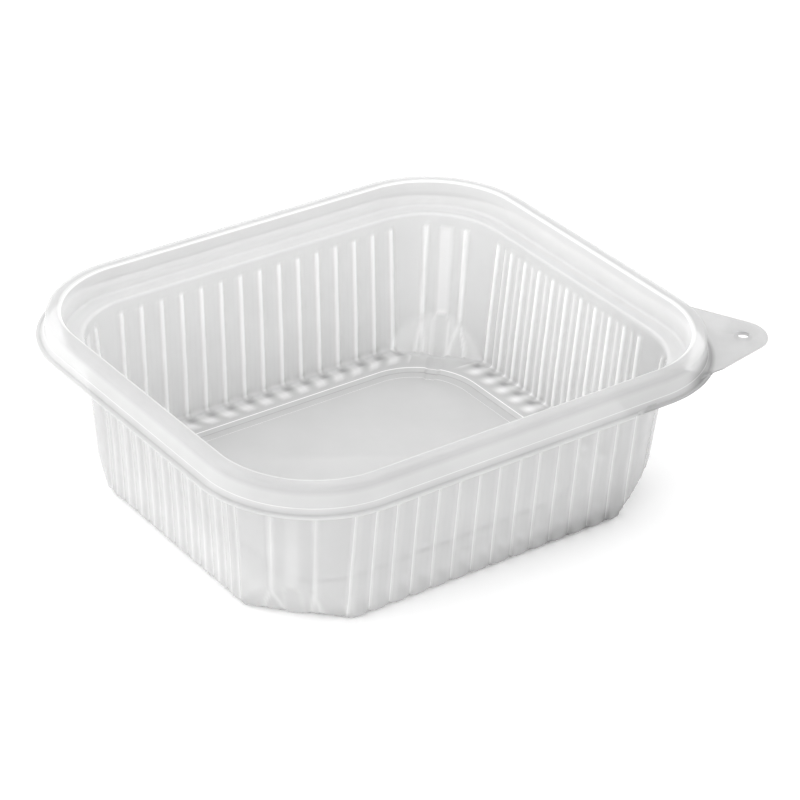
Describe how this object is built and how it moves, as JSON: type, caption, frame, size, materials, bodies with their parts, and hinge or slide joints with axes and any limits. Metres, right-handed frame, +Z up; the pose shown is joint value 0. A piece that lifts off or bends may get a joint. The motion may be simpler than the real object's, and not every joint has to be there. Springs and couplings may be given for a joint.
{
  "type": "takeaway meal container",
  "caption": "Empty clear plastic meal tub with ribbed tapering walls, a snap rim for a lid and a small holed tab at one corner.",
  "frame": {"origin": "centre of the bounding box's bottom face, on the plane the tub stands on; the tab makes this 6.5 mm off the middle of the mouth", "axes": "+X along the tub's length towards the end with the tab, +Y across its width away from the tab, +Z up out of the mouth"},
  "size_m": [0.171, 0.138, 0.0504],
  "materials": {
    "clear_plastic": "clear, slightly milky, semi-gloss"
  },
  "bodies": {
    "root": {"tub": "clear_plastic"}
  },
  "joints": []
}
